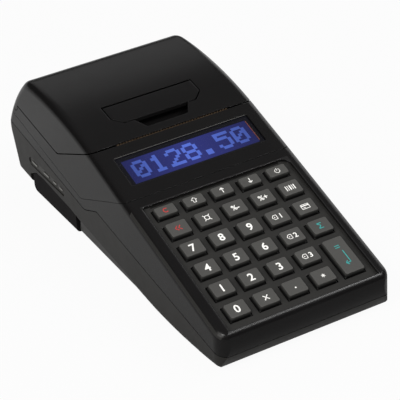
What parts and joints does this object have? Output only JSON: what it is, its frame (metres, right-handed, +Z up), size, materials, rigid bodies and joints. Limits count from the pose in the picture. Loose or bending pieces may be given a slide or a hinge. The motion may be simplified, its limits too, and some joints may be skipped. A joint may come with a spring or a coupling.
{
  "type": "portable ticket register",
  "caption": "Battery portable ticket register: sloping keypad, one-line display, receipt printer under a hinged paper lid with a latch, battery block beneath",
  "frame": {"origin": "middle of the bounding box in X and Y, at the underside of the feet", "axes": "+X to the user's right, +Y to the rear, +Z up"},
  "size_m": [0.0872, 0.2056, 0.0641],
  "materials": {
    "lower_plastic": "fine matt grain, near black",
    "upper_plastic": "satin, near black",
    "key_plastic": "matt dark grey, printed legends",
    "lens": "clear, slightly tinted",
    "display": "blue negative display cell in a black bezel",
    "silicone": "grey silicone",
    "circuit_board": "green board",
    "socket_plastic": "black moulded",
    "inner_plastic": "matt black",
    "sheet_steel": "plated sheet",
    "head_alloy": "bare alloy",
    "bright_steel": "bright",
    "roller_rubber": "ground rubber",
    "foot_rubber": "soft rubber",
    "gear_plastic": "natural white",
    "cell_wrap": "blue shrink wrap"
  },
  "bodies": {
    "case": {"bottom_case": "lower_plastic", "battery_cover": "lower_plastic", "top_case": "upper_plastic", "display_housing": "upper_plastic", "display_window": "lens", "lcd_module": "display", "keypad_mat": "silicone", "keypad_board": "circuit_board", "main_board": "circuit_board", "port_board": "circuit_board", "dc_jack": "socket_plastic", "data_sockets": "socket_plastic", "paper_bucket": "inner_plastic", "printer_frame": "sheet_steel", "print_motor": "sheet_steel", "head_springs": "bright_steel", "screws": "bright_steel", "hinge_pins": "bright_steel", "rubber_feet": "foot_rubber", "battery_pack": "cell_wrap"},
    "lid": {"paper_lid": "upper_plastic", "tear_bar": "bright_steel", "latch_spring": "bright_steel"},
    "latch": {"latch_lever": "upper_plastic", "latch_hooks": "bright_steel"},
    "platen": {"platen_shaft": "bright_steel", "platen_roller": "roller_rubber", "platen_gear": "gear_plastic"},
    "idler": {"idler_gear": "gear_plastic"},
    "pinion": {"motor_pinion": "gear_plastic"},
    "head": {"print_head": "head_alloy"},
    "key_clear_body": {"key_clear": "key_plastic"},
    "key_shift_body": {"key_shift": "key_plastic"},
    "key_up_body": {"key_up": "key_plastic"},
    "key_down_body": {"key_down": "key_plastic"},
    "key_power_body": {"key_power": "key_plastic"},
    "key_void_body": {"key_void": "key_plastic"},
    "key_price_body": {"key_price": "key_plastic"},
    "key_minus_percent_body": {"key_minus_percent": "key_plastic"},
    "key_plus_percent_body": {"key_plus_percent": "key_plastic"},
    "key_item_body": {"key_item": "key_plastic"},
    "key_7_body": {"key_7": "key_plastic"},
    "key_8_body": {"key_8": "key_plastic"},
    "key_9_body": {"key_9": "key_plastic"},
    "key_dept_1_body": {"key_dept_1": "key_plastic"},
    "key_payment_body": {"key_payment": "key_plastic"},
    "key_4_body": {"key_4": "key_plastic"},
    "key_5_body": {"key_5": "key_plastic"},
    "key_6_body": {"key_6": "key_plastic"},
    "key_dept_2_body": {"key_dept_2": "key_plastic"},
    "key_subtotal_body": {"key_subtotal": "key_plastic"},
    "key_1_body": {"key_1": "key_plastic"},
    "key_2_body": {"key_2": "key_plastic"},
    "key_3_body": {"key_3": "key_plastic"},
    "key_dept_3_body": {"key_dept_3": "key_plastic"},
    "key_total_body": {"key_total": "key_plastic"},
    "key_0_body": {"key_0": "key_plastic"},
    "key_times_body": {"key_times": "key_plastic"},
    "key_point_body": {"key_point": "key_plastic"},
    "key_star_body": {"key_star": "key_plastic"}
  },
  "joints": [
    {"name": "lid_hinge", "type": "hinge", "parent": "case", "child": "lid", "pos_m": [0, 0.0916, 0.0448], "axis": [-1, 0, 0], "range_deg": [0, 70]},
    {"name": "latch_pivot", "type": "hinge", "parent": "lid", "child": "latch", "pos_m": [0, 0.0314, 0.05707], "axis": [-1, 0, 0], "range_deg": [0, 20], "stiffness_Nm_per_rad": 0.02, "springref_deg": -11.46},
    {"name": "platen_spin", "type": "hinge", "parent": "lid", "child": "platen", "pos_m": [0, 0.0175, 0.0458], "axis": [1, 0, 0], "continuous": true},
    {"name": "idler_spin", "type": "hinge", "parent": "case", "child": "idler", "pos_m": [0, 0.0175, 0.0326], "axis": [1, 0, 0], "continuous": true},
    {"name": "pinion_spin", "type": "hinge", "parent": "case", "child": "pinion", "pos_m": [0, 0.00885, 0.0272], "axis": [1, 0, 0], "continuous": true},
    {"name": "head_pivot", "type": "hinge", "parent": "case", "child": "head", "pos_m": [0, 0.0115, 0.0376], "axis": [1, 0, 0], "range_deg": [0, 2], "stiffness_Nm_per_rad": 0.3, "springref_deg": -5.73},
    {"name": "key_clear_press", "type": "slide", "parent": "case", "child": "key_clear_body", "axis": [0, 0.3007, -0.9537], "range_m": [0, 0.0012], "stiffness_N_per_m": 300, "springref_m": -0.0005},
    {"name": "key_shift_press", "type": "slide", "parent": "case", "child": "key_shift_body", "axis": [0, 0.3007, -0.9537], "range_m": [0, 0.0012], "stiffness_N_per_m": 300, "springref_m": -0.0005},
    {"name": "key_up_press", "type": "slide", "parent": "case", "child": "key_up_body", "axis": [0, 0.3007, -0.9537], "range_m": [0, 0.0012], "stiffness_N_per_m": 300, "springref_m": -0.0005},
    {"name": "key_down_press", "type": "slide", "parent": "case", "child": "key_down_body", "axis": [0, 0.3007, -0.9537], "range_m": [0, 0.0012], "stiffness_N_per_m": 300, "springref_m": -0.0005},
    {"name": "key_power_press", "type": "slide", "parent": "case", "child": "key_power_body", "axis": [0, 0.3007, -0.9537], "range_m": [0, 0.0012], "stiffness_N_per_m": 300, "springref_m": -0.0005},
    {"name": "key_void_press", "type": "slide", "parent": "case", "child": "key_void_body", "axis": [0, 0.3007, -0.9537], "range_m": [0, 0.0012], "stiffness_N_per_m": 300, "springref_m": -0.0005},
    {"name": "key_price_press", "type": "slide", "parent": "case", "child": "key_price_body", "axis": [0, 0.3007, -0.9537], "range_m": [0, 0.0012], "stiffness_N_per_m": 300, "springref_m": -0.0005},
    {"name": "key_minus_percent_press", "type": "slide", "parent": "case", "child": "key_minus_percent_body", "axis": [0, 0.3007, -0.9537], "range_m": [0, 0.0012], "stiffness_N_per_m": 300, "springref_m": -0.0005},
    {"name": "key_plus_percent_press", "type": "slide", "parent": "case", "child": "key_plus_percent_body", "axis": [0, 0.3007, -0.9537], "range_m": [0, 0.0012], "stiffness_N_per_m": 300, "springref_m": -0.0005},
    {"name": "key_item_press", "type": "slide", "parent": "case", "child": "key_item_body", "axis": [0, 0.3007, -0.9537], "range_m": [0, 0.0012], "stiffness_N_per_m": 300, "springref_m": -0.0005},
    {"name": "key_7_press", "type": "slide", "parent": "case", "child": "key_7_body", "axis": [0, 0.3007, -0.9537], "range_m": [0, 0.0012], "stiffness_N_per_m": 300, "springref_m": -0.0005},
    {"name": "key_8_press", "type": "slide", "parent": "case", "child": "key_8_body", "axis": [0, 0.3007, -0.9537], "range_m": [0, 0.0012], "stiffness_N_per_m": 300, "springref_m": -0.0005},
    {"name": "key_9_press", "type": "slide", "parent": "case", "child": "key_9_body", "axis": [0, 0.3007, -0.9537], "range_m": [0, 0.0012], "stiffness_N_per_m": 300, "springref_m": -0.0005},
    {"name": "key_dept_1_press", "type": "slide", "parent": "case", "child": "key_dept_1_body", "axis": [0, 0.3007, -0.9537], "range_m": [0, 0.0012], "stiffness_N_per_m": 300, "springref_m": -0.0005},
    {"name": "key_payment_press", "type": "slide", "parent": "case", "child": "key_payment_body", "axis": [0, 0.3007, -0.9537], "range_m": [0, 0.0012], "stiffness_N_per_m": 300, "springref_m": -0.0005},
    {"name": "key_4_press", "type": "slide", "parent": "case", "child": "key_4_body", "axis": [0, 0.3007, -0.9537], "range_m": [0, 0.0012], "stiffness_N_per_m": 300, "springref_m": -0.0005},
    {"name": "key_5_press", "type": "slide", "parent": "case", "child": "key_5_body", "axis": [0, 0.3007, -0.9537], "range_m": [0, 0.0012], "stiffness_N_per_m": 300, "springref_m": -0.0005},
    {"name": "key_6_press", "type": "slide", "parent": "case", "child": "key_6_body", "axis": [0, 0.3007, -0.9537], "range_m": [0, 0.0012], "stiffness_N_per_m": 300, "springref_m": -0.0005},
    {"name": "key_dept_2_press", "type": "slide", "parent": "case", "child": "key_dept_2_body", "axis": [0, 0.3007, -0.9537], "range_m": [0, 0.0012], "stiffness_N_per_m": 300, "springref_m": -0.0005},
    {"name": "key_subtotal_press", "type": "slide", "parent": "case", "child": "key_subtotal_body", "axis": [0, 0.3007, -0.9537], "range_m": [0, 0.0012], "stiffness_N_per_m": 300, "springref_m": -0.0005},
    {"name": "key_1_press", "type": "slide", "parent": "case", "child": "key_1_body", "axis": [0, 0.3007, -0.9537], "range_m": [0, 0.0012], "stiffness_N_per_m": 300, "springref_m": -0.0005},
    {"name": "key_2_press", "type": "slide", "parent": "case", "child": "key_2_body", "axis": [0, 0.3007, -0.9537], "range_m": [0, 0.0012], "stiffness_N_per_m": 300, "springref_m": -0.0005},
    {"name": "key_3_press", "type": "slide", "parent": "case", "child": "key_3_body", "axis": [0, 0.3007, -0.9537], "range_m": [0, 0.0012], "stiffness_N_per_m": 300, "springref_m": -0.0005},
    {"name": "key_dept_3_press", "type": "slide", "parent": "case", "child": "key_dept_3_body", "axis": [0, 0.3007, -0.9537], "range_m": [0, 0.0012], "stiffness_N_per_m": 300, "springref_m": -0.0005},
    {"name": "key_total_press", "type": "slide", "parent": "case", "child": "key_total_body", "axis": [0, 0.3007, -0.9537], "range_m": [0, 0.0012], "stiffness_N_per_m": 300, "springref_m": -0.0005},
    {"name": "key_0_press", "type": "slide", "parent": "case", "child": "key_0_body", "axis": [0, 0.3007, -0.9537], "range_m": [0, 0.0012], "stiffness_N_per_m": 300, "springref_m": -0.0005},
    {"name": "key_times_press", "type": "slide", "parent": "case", "child": "key_times_body", "axis": [0, 0.3007, -0.9537], "range_m": [0, 0.0012], "stiffness_N_per_m": 300, "springref_m": -0.0005},
    {"name": "key_point_press", "type": "slide", "parent": "case", "child": "key_point_body", "axis": [0, 0.3007, -0.9537], "range_m": [0, 0.0012], "stiffness_N_per_m": 300, "springref_m": -0.0005},
    {"name": "key_star_press", "type": "slide", "parent": "case", "child": "key_star_body", "axis": [0, 0.3007, -0.9537], "range_m": [0, 0.0012], "stiffness_N_per_m": 300, "springref_m": -0.0005}
  ],
  "couplings": [
    {"joint": "idler_spin", "follows": "platen_spin", "ratio": -0.83333},
    {"joint": "pinion_spin", "follows": "platen_spin", "ratio": 2}
  ]
}
